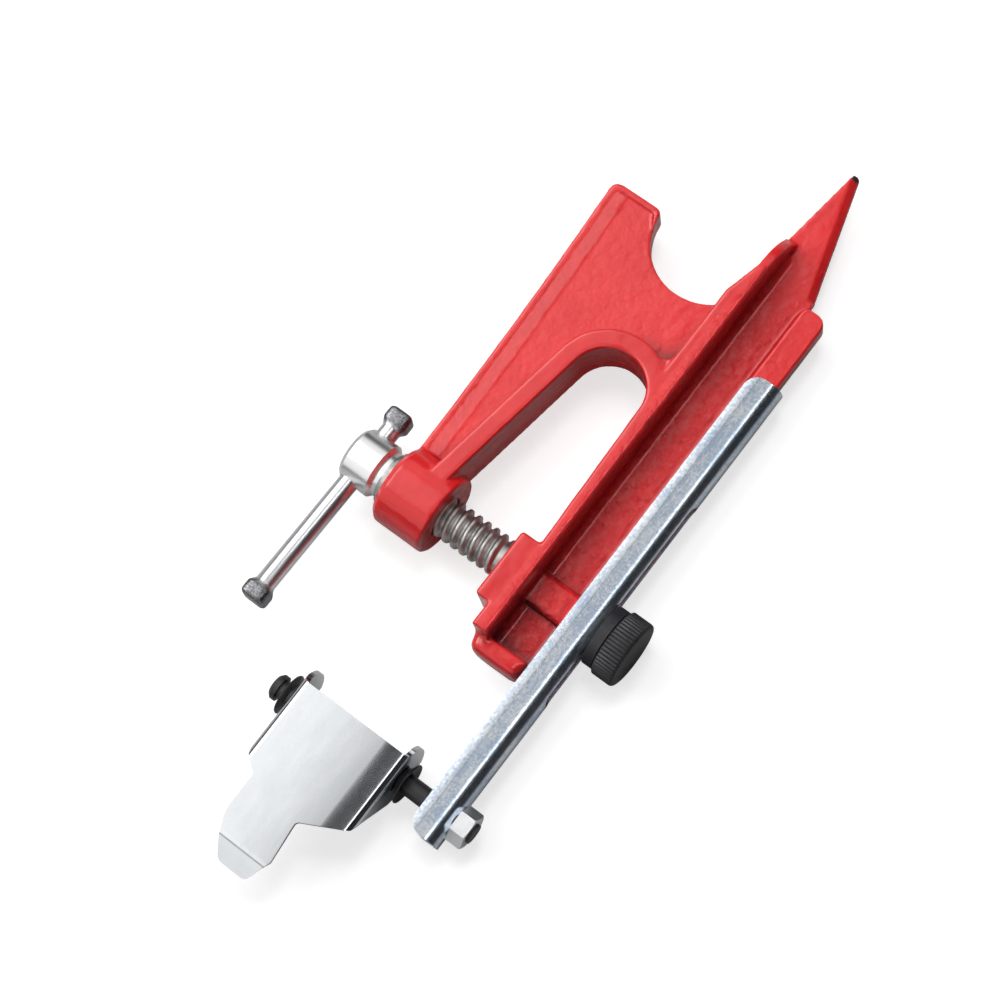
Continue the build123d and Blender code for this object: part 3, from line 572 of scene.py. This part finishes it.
def build_stage():
    """A pale floor, dark cloth above and all round, and a soft box, a card and a strip overhead."""
    floor_at = (0, 0, CAD_LOW.z - FLOOR_DROP)
    stage_plane("floor", FLOOR_SIZE, floor_at, LEVEL, floor_white(), seen=True)
    cloth = dark_cloth()
    stage_plane("ceiling", *CEILING, LEVEL, cloth)
    stage_plane("flag", *RIGHT_FLAG, FACING_X, cloth)
    stage_plane("left_flag", *LEFT_FLAG, FACING_X, cloth)
    stage_plane("far_flag", *FAR_FLAG, FACING_Y, cloth)
    stage_plane("near_flag", *NEAR_FLAG, FACING_Y, cloth)
    stage_plane("soft_box", *SOFT_BOX, FACING_DOWN, soft_light("soft_box", BOX_STRENGTH))
    stage_plane("card", *CARD, FACING_DOWN, soft_light("card", CARD_STRENGTH))
    strip = stage_plane("strip", *STRIP, FACING_DOWN, soft_light("strip", STRIP_STRENGTH))
    strip.visible_diffuse = False


def build_world():
    """A pale studio all round: white where it is seen or mirrored, dim where it lights."""
    world = bpy.context.scene.world or bpy.data.worlds.new("studio")
    bpy.context.scene.world = world
    world.use_nodes = True
    tree = world.node_tree
    tree.nodes.clear()
    out = node(tree, "ShaderNodeOutputWorld")
    back = node(tree, "ShaderNodeBackground", Color=WHITE)
    seen = ray_is(tree, "Is Camera Ray", "Is Glossy Ray", "Is Transmission Ray")
    join(tree, remap(tree, seen, 0.0, 1.0, to_low=WORLD_LIGHT), back.inputs["Strength"])
    join(tree, back.outputs["Background"], out.inputs["Surface"])


def new_object(name, data):
    """A new object in the scene from its data."""
    made = bpy.data.objects.new(name, data)
    bpy.context.scene.collection.objects.link(made)
    return made


def lamp(name, place, size, power):
    """A square soft lamp that points at the clamp."""
    data = bpy.data.lights.new(name, "AREA")
    data.energy = power
    data.shape = "SQUARE"
    data.size = size
    made = new_object(name, data)
    made.location = place
    made.rotation_mode = "QUATERNION"
    made.rotation_quaternion = (Vector(LAMP_AIM) - Vector(place)).to_track_quat("-Z", "Y")
    return made


def build_lamps():
    """A high key lamp that the metal doesn't mirror, and a weak one from the near left."""
    key = lamp("key", KEY_AT, KEY_SIZE, KEY_POWER)
    key.visible_glossy = False
    lamp("side", SIDE_AT, SIDE_SIZE, SIDE_POWER)


def build_camera():
    """The photograph's camera."""
    data = bpy.data.cameras.new("camera")
    data.lens = LENS
    data.sensor_width = SENSOR
    data.clip_start = CLIP_START
    data.clip_end = CLIP_END
    camera = new_object("camera", data)
    right, down, ahead = (Vector(v) for v in (CAMERA_RIGHT, CAMERA_DOWN, CAMERA_AHEAD))
    turn = Matrix((right, -down, -ahead)).transposed()
    camera.matrix_world = Matrix.Translation(CAMERA_AT) @ turn.to_4x4()
    bpy.context.scene.camera = camera


def mesh_object(name, verts, faces, material):
    """A new smooth-shaded mesh piece from its points and faces."""
    mesh = bpy.data.meshes.new(name)
    mesh.from_pydata(verts, [], faces)
    mesh.validate()
    mesh.shade_smooth()
    mesh.materials.append(material)
    return new_object(name, mesh)


def apply_modifiers(piece):
    """Puts a piece's modified mesh in the place of its own."""
    graph = bpy.context.evaluated_depsgraph_get()
    mesh = bpy.data.meshes.new_from_object(piece.evaluated_get(graph))
    piece.modifiers.clear()
    piece.data = mesh


def welded_copy(name):
    """A CAD node's mesh as a new object, with its doubled points merged."""
    mesh = NODES[name].data.copy()
    work = bmesh.new()
    work.from_mesh(mesh)
    bmesh.ops.remove_doubles(work, verts=work.verts, dist=WELD_REACH)
    work.to_mesh(mesh)
    work.free()
    return new_object(name + "_copy", mesh)


def face_out(piece):
    """Turns every face of a closed mesh outwards."""
    work = bmesh.new()
    work.from_mesh(piece.data)
    bmesh.ops.recalc_face_normals(work, faces=work.faces)
    work.to_mesh(piece.data)
    work.free()


def finish_edges(piece, width):
    """Narrow rounded edges, and flat faces that shade flat beside them."""
    bevel = piece.modifiers.new("edges", "BEVEL")
    bevel.width = width
    bevel.segments = BEVEL_STEPS
    bevel.limit_method = "ANGLE"
    bevel.angle_limit = BEVEL_ANGLE
    flats = piece.modifiers.new("flats", "WEIGHTED_NORMAL")
    flats.keep_sharp = True
    piece.data.shade_smooth()


def settle(piece, body, name):
    """Puts a piece on its body, in a CAD node's stead."""
    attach(piece, body)
    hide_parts(name)


def middle_z(name):
    """The height of a node's middle."""
    low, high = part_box(name)
    return (low.z + high.z) / 2


def ring_points(radius_at, x, sides, centre=(0.0, 0.0)):
    """Points round an axis along X at one place, radius_at giving each one's radius."""
    points = []
    for i in range(sides):
        angle = 2 * math.pi * i / sides
        r = radius_at(angle)
        points.append((x, r * math.cos(angle) + centre[0], r * math.sin(angle) + centre[1]))
    return points


def turned_points(profile, sides, centre=(0.0, 0.0)):
    """The rings of a turned shape from (x, radius) pairs."""
    points = []
    for x, radius in profile:
        points += ring_points(lambda angle, r=radius: r, x, sides, centre)
    return points


def ring_faces(rings, sides):
    """Quads between rings of points."""
    faces = []
    for k in range(rings - 1):
        low = k * sides
        for i in range(sides):
            j = (i + 1) % sides
            faces.append((low + i, low + sides + i, low + sides + j, low + j))
    return faces


def closed_faces(rings, sides):
    """Quads between rings of points, with flat caps on the first and the last ring."""
    last = (rings - 1) * sides
    caps = [tuple(range(sides)), tuple(range(last + sides - 1, last - 1, -1))]
    return ring_faces(rings, sides) + caps


def arc(centre, radius, start, end, steps):
    """Points along an arc, in degrees."""
    turns = [math.radians(start + (end - start) * k / steps) for k in range(steps + 1)]
    return [(centre[0] + radius * math.cos(a), centre[1] + radius * math.sin(a)) for a in turns]


def circle(radius, centre, steps=48):
    """Points round a circle."""
    turns = [2 * math.pi * i / steps for i in range(steps)]
    return [(centre[0] + radius * math.cos(a), centre[1] + radius * math.sin(a)) for a in turns]


def rounded(corners, steps=6):
    """An outline from (x, y, radius) corners, each rounded by an arc."""
    points = []
    count = len(corners)
    for i, (x, y, radius) in enumerate(corners):
        here = Vector((x, y))
        before = (Vector(corners[i - 1][:2]) - here).normalized()
        after = (Vector(corners[(i + 1) % count][:2]) - here).normalized()
        half = before.angle(after) / 2
        if radius <= 0 or abs(half - math.pi / 2) < NEARLY_STRAIGHT:
            points.append((x, y))
            continue
        reach = radius / math.tan(half)
        centre = here + (before + after).normalized() * (radius / math.sin(half))
        start, end = here + before * reach - centre, here + after * reach - centre
        turn = start.angle_signed(end)
        for k in range(steps + 1):
            a = -turn * k / steps
            points.append((centre.x + start.x * math.cos(a) - start.y * math.sin(a),
                           centre.y + start.x * math.sin(a) + start.y * math.cos(a)))
    return points


def cutter(outline, low, high, axis):
    """A prism for cutting: an outline in the other two axes, between two places along one."""
    order = {"X": (2, 0, 1), "Z": (0, 1, 2)}[axis]
    verts = []
    for along in (low, high):
        for point in outline:
            place = (point[0], point[1], along)
            verts.append(tuple(place[i] for i in order))
    mesh = bpy.data.meshes.new("cutter")
    mesh.from_pydata(verts, [], closed_faces(2, len(outline)))
    made = new_object("cutter", mesh)
    face_out(made)
    return made


def carve(piece, cutters, operation):
    """Cuts a piece by others and removes them."""
    for other in cutters:
        cut = piece.modifiers.new("cut", "BOOLEAN")
        cut.operation = operation
        cut.object = other
        cut.solver = "EXACT"
    apply_modifiers(piece)
    for other in cutters:
        bpy.data.objects.remove(other)


def soften(piece, name, rounds, group=""):
    """Smooths a piece, or only the points of one group."""
    smooth = piece.modifiers.new(name, "SMOOTH")
    smooth.vertex_group = group
    smooth.factor = SMOOTH_FACTOR
    smooth.iterations = rounds


def group_pad(piece):
    """Groups the points of the casting's low pad, which is rounder than the rest."""
    group = piece.vertex_groups.new(name="pad")
    for vert in piece.data.vertices:
        share = (PAD_TOP_Y - vert.co.y) / PAD_FADE
        if share > 0:
            group.add([vert.index], min(share, 1.0), "REPLACE")


def raise_lumps(piece, name, size, depth, height):
    """Displaces a piece by a procedural cloud texture."""
    texture = bpy.data.textures.new(name, "CLOUDS")
    texture.noise_scale = size
    texture.noise_depth = depth
    lumps = piece.modifiers.new(name, "DISPLACE")
    lumps.texture = texture
    lumps.texture_coords = "LOCAL"
    lumps.strength = height
    lumps.mid_level = SKIN_LEVEL


def casting(material):
    """The casting with soft corners and the lumps of its sand mould."""
    piece = welded_copy("cast_body")
    piece.name = "casting"
    remesh = piece.modifiers.new("soft", "REMESH")
    remesh.mode = "VOXEL"
    remesh.voxel_size = SKIN_VOXEL
    remesh.use_smooth_shade = True
    apply_modifiers(piece)
    group_pad(piece)
    soften(piece, "round", SKIN_SMOOTHING)
    soften(piece, "pad", PAD_SMOOTHING, "pad")
    for lumps in SKIN_LUMPS:
        raise_lumps(piece, *lumps)
    apply_modifiers(piece)
    piece.data.materials.clear()
    piece.data.materials.append(material)
    settle(piece, "casting", "cast_body")


def thread_radius(turns):
    """The thread's radius after some turns: flat crest, sloped flanks, round root."""
    share = turns % 1.0
    if share < CREST_SHARE:
        return SCREW_R
    along = (share - CREST_SHARE) / (1.0 - CREST_SHARE)
    root = SCREW_R - THREAD_DEPTH
    return root + (SCREW_R - root) * (0.5 + 0.5 * math.cos(2 * math.pi * along)) ** FLANK_POWER


def threaded_shank(start_x, end_x):
    """A closed right-hand threaded rod along X."""
    rings = int(round((end_x - start_x) / THREAD_PITCH * THREAD_STEPS)) + 1
    verts = []
    for k in range(rings):
        x = start_x + (end_x - start_x) * k / (rings - 1)

        def radius_at(angle, x=x):
            return thread_radius((x - start_x) / THREAD_PITCH - angle / (2 * math.pi))
        verts += ring_points(radius_at, x, THREAD_SIDES)
    return verts, closed_faces(rings, THREAD_SIDES)


def screw_tip(end_x):
    """The screw's plain round tip."""
    profile = [(end_x - TIP_LENGTH - OVERLAP, TIP_R), (end_x - TIP_BEVEL, TIP_R), (end_x, TIP_R - TIP_BEVEL)]
    return turned_points(profile, THREAD_SIDES), closed_faces(len(profile), THREAD_SIDES)


def cut_right(piece, x):
    """Takes away what lies right of a place along X, and closes the cut."""
    work = bmesh.new()
    work.from_mesh(piece.data)
    everything = work.verts[:] + work.edges[:] + work.faces[:]
    done = bmesh.ops.bisect_plane(work, geom=everything, plane_co=(x, 0, 0), plane_no=(1, 0, 0),
                                  clear_outer=True)
    rim = [e for e in done["geom_cut"] if isinstance(e, bmesh.types.BMEdge)]
    bmesh.ops.edgeloop_fill(work, edges=rim)
    work.to_mesh(piece.data)
    work.free()


def merge(piece, other):
    """Takes another piece's mesh into a piece."""
    work = bmesh.new()
    work.from_mesh(piece.data)
    work.from_mesh(other.data)
    bpy.data.objects.remove(other)
    for face in work.faces:
        face.smooth = True
        face.material_index = 0
    work.to_mesh(piece.data)
    work.free()


def screw(material):
    """The clamp screw: the CAD head and neck, with a real thread and a plain tip."""
    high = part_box("clamp_screw")[1]
    head = welded_copy("clamp_screw")
    cut_right(head, THREAD_START_X - OVERLAP)
    verts, faces = threaded_shank(THREAD_START_X - 2 * OVERLAP, high.x - TIP_LENGTH)
    tip_verts, tip_faces = screw_tip(high.x)
    faces += [tuple(i + len(verts) for i in face) for face in tip_faces]
    piece = mesh_object("screw", verts + tip_verts, faces, material)
    merge(piece, head)
    finish_edges(piece, SCREW_EDGE)
    settle(piece, "screw", "clamp_screw")


def sweep_bar(stations, place):
    """The sliding bar from (along, half width, power) stations: 2 is round, more is square."""
    other = BAR_AXIS.cross(BAR_SIDE)
    verts = []
    for along, half, power in stations:
        for i in range(BAR_SIDES):
            a = 2 * math.pi * i / BAR_SIDES
            c, s = math.cos(a), math.sin(a)
            r = half / (abs(c) ** power + abs(s) ** power) ** (1 / power)
            verts.append(tuple(place + BAR_AXIS * along + BAR_SIDE * (r * c) + other * (r * s)))
    return verts, closed_faces(len(stations), BAR_SIDES)


def sliding_bar(material):
    """The round bar with its ends swaged into soft square blocks."""
    low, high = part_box("t_bar")
    place = Vector(((low.x + high.x) / 2, 0.0, 0.0))
    ends = []
    for inward, share in BLOCK_PROFILE:
        flare = min(max((inward - FLARE_START) / FLARE_LENGTH, 0.0), 1.0)
        power = SQUARE_POWER + (ROUND_POWER - SQUARE_POWER) * flare ** FLARE_POWER
        ends.append((inward * MM, max(share * BLOCK_HALF, BAR_R), power))
    stations = [(BAR_LOW + along, half, power) for along, half, power in ends]
    stations += [(BAR_TOP - along, half, power) for along, half, power in reversed(ends)]
    verts, faces = sweep_bar(stations, place)
    piece = mesh_object("sliding_bar", verts, faces, material)
    face_out(piece)
    piece.data.set_sharp_from_angle(angle=SHARP_BAR)
    settle(piece, "bar", "t_bar")


def arm_section(low, high, mid_z):
    """The channel's section in X and Z, its flanges slightly crowned beside the soft bends."""
    upper = []
    for k in range(ARM_CROWN_STEPS + 1):
        share = k / ARM_CROWN_STEPS
        upper.append((low.x + ARM_CROWN * share, high.z - ARM_CROWN_DROP * (1 - share) ** 2))
    upper += arc((high.x - ARM_BEND, high.z - ARM_LEAN - ARM_BEND), ARM_BEND, 90, 0, BEND_STEPS)
    root = (high.x - ARM_SHEET - ARM_ROOT, high.z - ARM_SHEET - ARM_ROOT)
    inner = arc(root, ARM_ROOT, 0, 90, BEND_STEPS // 2)
    inner.append((low.x, high.z - ARM_SHEET))
    lower = [(x, 2 * mid_z - z) for x, z in upper[::-1]]
    inner_low = [(x, 2 * mid_z - z) for x, z in inner[::-1]]
    return upper + lower + inner_low + inner


def folded_arm(material):
    """The arm: a folded channel with round flange corners, its slot and the pin's hole."""
    low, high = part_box("arm_channel")
    mid_z = middle_z("arm_channel")
    past = ARM_SHEET
    outline = arm_section(low, high, mid_z)
    verts = [(x, y, z) for y in (low.y, high.y) for x, z in outline]
    piece = mesh_object("folded_arm", verts, closed_faces(2, len(outline)), material)
    face_out(piece)
    plan = rounded([(low.x, low.y, ARM_CORNER), (high.x + past, low.y, 0), (high.x + past, high.y, 0),
                    (low.x, high.y, ARM_CORNER)], ARM_CORNER_STEPS)
    carve(piece, [cutter(plan, low.z - past, high.z + past, "Z")], "INTERSECT")
    slot_low, slot_high = SLOT_ENDS
    slot = arc((slot_low, mid_z), SLOT_HALF, 270, 90, SLOT_STEPS)
    slot += arc((slot_high, mid_z), SLOT_HALF, 90, -90, SLOT_STEPS)
    hole = circle(PIN_HOLE_R, (PIN_Y, mid_z))
    left_x, right_x = high.x - ARM_SHEET - past, high.x + past
    carve(piece, [cutter(slot, left_x, right_x, "X"), cutter(hole, left_x, right_x, "X")], "DIFFERENCE")
    finish_edges(piece, ARM_EDGE)
    piece.data.set_sharp_from_angle(angle=SHARP_SHEET)
    settle(piece, "arm", "arm_channel")


def pawl_outline(left, right, top_z):
    """The pawl laid flat: two ears outside the bends, the plate and the tongue between."""
    above_pin = top_z - middle_z("arm_channel")
    rise = math.degrees(math.asin(EAR_BACK / EAR_R))
    sides = []
    for edge, facing, turn in ((right, 1, PAWL_CROWN_TURN), (left, -1, 0.0)):
        run = PAWL_BEND * (math.pi / 2 - turn)
        drop = above_pin - PAWL_BEND * math.cos(turn) - PAWL_CROWN * turn / 2
        start = math.degrees(math.asin(-drop / EAR_R))
        ear = [(x, y, 0.0) for x, y in arc((drop, PIN_Y), EAR_R, 90 - rise, 90 - start, EAR_STEPS)]
        low = [(0.0, PAWL_LOW_Y + EAR_FOOT_RISE, EAR_FOOT_R),
               (drop + EAR_BACK, PIN_Y - EAR_BACK, EAR_BACK_R)]
        sides.append([(edge + facing * (run + x), y, r) for x, y, r in low + ear])
    tongue = [(x * MM, y * MM, r * MM) for x, y, r in TONGUE]
    right_x, left_x = right + SHOULDER_R, left - SHOULDER_R
    return rounded(tongue + [(right_x, PAWL_LOW_Y, SHOULDER_R)] + sides[0]
                   + [(right_x, PAWL_TOP_Y, SHOULDER_R), (left_x, PAWL_TOP_Y, SHOULDER_R)]
                   + sides[1][::-1] + [(left_x, PAWL_LOW_Y, SHOULDER_R)])


def fold_place(x, y, left, right, top_z):
    """Where a point of the flat pawl lies once its ears and tip are bent."""
    z = top_z
    crowned = min(max(x - right + PAWL_CROWN, 0.0), PAWL_CROWN)
    z -= crowned ** 2 / (2 * PAWL_CROWN) * PAWL_CROWN_TURN
    for edge, facing, first in ((right, 1, PAWL_CROWN_TURN), (left, -1, 0.0)):
        over = facing * (x - edge)
        if over > 0:
            turn = min(first + over / PAWL_BEND, math.pi / 2)
            straight = max(over - PAWL_BEND * (math.pi / 2 - first), 0.0)
            x = edge + facing * PAWL_BEND * (math.sin(turn) - math.sin(first))
            z -= PAWL_BEND * (math.cos(first) - math.cos(turn)) + straight
            break
    past = TIP_BEND_TOP_Y - y
    if past > 0:
        turn = min(past / TIP_BEND_R, TIP_ANGLE)
        straight = max(past - TIP_BEND_R * TIP_ANGLE, 0.0)
        y += past - TIP_BEND_R * math.sin(turn) - straight * math.cos(TIP_ANGLE)
        z -= TIP_BEND_R * (1 - math.cos(turn)) + straight * math.sin(TIP_ANGLE)
    return Vector((x, y, z))


def slice_flat(work, places, normal):
    """Cuts a flat mesh along lines, so that it can bend there."""
    for place in places:
        everything = work.verts[:] + work.edges[:] + work.faces[:]
        bmesh.ops.bisect_plane(work, geom=everything, plane_co=place, plane_no=normal)


def shares(length, first=0):
    """Even places over a length, from one of its steps on."""
    return [length * k / BEND_STEPS for k in range(first, BEND_STEPS + 1)]


def folded_sheet(left, right, top_z):
    """The pawl's front: its flat outline, sliced where it bends, and folded."""
    work = bmesh.new()
    work.faces.new([work.verts.new((x, y, 0)) for x, y in pawl_outline(left, right, top_z)])
    quarter = shares(PAWL_BEND * math.pi / 2)
    slice_flat(work, [(right + s, 0, 0) for s in quarter] + [(left - s, 0, 0) for s in quarter], (1, 0, 0))
    slice_flat(work, [(right - s, 0, 0) for s in shares(PAWL_CROWN, 1)], (1, 0, 0))
    slice_flat(work, [(0, TIP_BEND_TOP_Y - s, 0) for s in shares(TIP_BEND_R * TIP_ANGLE)], (0, 1, 0))
    for vert in work.verts:
        vert.co = fold_place(vert.co.x, vert.co.y, left, right, top_z)
    for face in work.faces:
        face.smooth = True
    bmesh.ops.recalc_face_normals(work, faces=work.faces)
    upper = max(work.faces, key=lambda face: face.calc_area())
    if upper.normal.z < 0:
        bmesh.ops.reverse_faces(work, faces=work.faces)
    mesh = bpy.data.meshes.new("pawl")
    work.to_mesh(mesh)
    work.free()
    return mesh


def pawl(material):
    """The pawl, folded from one flat sheet."""
    low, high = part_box("pawl_plate")
    left = low.x + PAWL_BEND
    right = high.x - PAWL_BEND * (1 - math.sin(PAWL_CROWN_TURN))
    mesh = folded_sheet(left, right, high.z)
    mesh.materials.append(material)
    piece = new_object("pawl", mesh)
    thick = piece.modifiers.new("sheet", "SOLIDIFY")
    thick.thickness = PAWL_SHEET
    thick.offset = -1.0
    thick.use_even_offset = True
    hole = circle(PIN_HOLE_R, (PIN_Y, middle_z("arm_channel")))
    carve(piece, [cutter(hole, low.x - PAWL_SHEET, high.x + PAWL_SHEET, "X")], "DIFFERENCE")
    finish_edges(piece, PAWL_EDGE)
    piece.data.set_sharp_from_angle(angle=SHARP_SHEET)
    settle(piece, "pawl", "pawl_plate")


def push_ring(name, facing, material):
    """A thin dished ring with its short hub towards the pawl's ear."""
    low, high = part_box(name)
    ear_low, ear_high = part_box("pawl_plate")
    centre = ((low.y + high.y) / 2, (low.z + high.z) / 2)
    rim, ear = (low.x, ear_low.x) if facing < 0 else (high.x, ear_high.x)
    root = rim - facing * RING_DISH
    back = root - facing * RING_SHEET
    hub_end = ear + facing * HUB_GAP
    profile = [(root, PIN_HOLE_R), (rim, RING_R - RING_ROUND), (rim - facing * RING_SHEET / 2, RING_R),
               (rim - facing * RING_SHEET, RING_R - RING_ROUND), (back, HUB_R + RING_ROUND),
               (back - facing * RING_ROUND, HUB_R), (hub_end + facing * HUB_BEVEL, HUB_R),
               (hub_end, HUB_R - HUB_BEVEL), (hub_end, PIN_HOLE_R)]
    faces = ring_faces(len(profile), RING_SIDES)
    last = (len(profile) - 1) * RING_SIDES
    for i in range(RING_SIDES):
        j = (i + 1) % RING_SIDES
        faces.append((last + i, i, j, last + j))
    piece = mesh_object(name + "_turned", turned_points(profile, RING_SIDES, centre), faces, material)
    face_out(piece)
    piece.data.set_sharp_from_angle(angle=SHARP_TURNED)
    settle(piece, "arm", name)


def knob(material):
    """The knob's grip with fine ribs along its axis and a soft outer edge."""
    low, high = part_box("clamp_knob")
    centre = ((low.y + high.y) / 2, (low.z + high.z) / 2)
    radius = (high.y - low.y) / 2
    profile = [(low.x + x * MM, radius - deep * MM, share) for x, deep, share in KNOB_INNER_EDGE]
    profile += [(high.x - x * MM, radius - deep * MM, share) for x, deep, share in KNOB_OUTER_EDGE]
    sides = KNOB_RIBS * RIB_POINTS
    verts = []
    for x, r, share in profile:
        def radius_at(angle, r=r, share=share):
            wave = 0.5 - 0.5 * math.cos(KNOB_RIBS * angle)
            return r - share * RIB_DEPTH * (1.0 - wave ** RIB_POWER)
        verts += ring_points(radius_at, x, sides, centre)
    piece = mesh_object("knob_grip", verts, closed_faces(len(profile), sides), material)
    piece.data.set_sharp_from_angle(angle=SHARP_TURNED)
    settle(piece, "knob", "clamp_knob")


def main():
    """Dresses every piece, then builds the stage, the lights and the camera."""
    bright = screw_steel()
    black = blackened("black_steel", BLACK_STEEL, BLACK_STEEL_ROUGHNESS)
    plastic = blackened("black_plastic", BLACK_PLASTIC, BLACK_PLASTIC_ROUGHNESS)
    casting(red_paint())
    screw(bright)
    dress("thrust_washer", bright)
    sliding_bar(chromed())
    folded_arm(zinc_plate("zinc_arm", **ARM_ZINC))
    dress("knob_collar", plastic)
    knob(plastic)
    dress("knob_stud", bright)
    dress("pivot_pin", black)
    dress("pivot_nut", nut_zinc())
    push_ring("push_ring_inner", 1, black)
    push_ring("push_ring_outer", -1, black)
    pawl(zinc_plate("zinc_pawl", **PAWL_ZINC))
    build_stage()
    build_world()
    build_lamps()
    build_camera()
    bpy.context.scene.view_settings.view_transform = "Standard"


main()
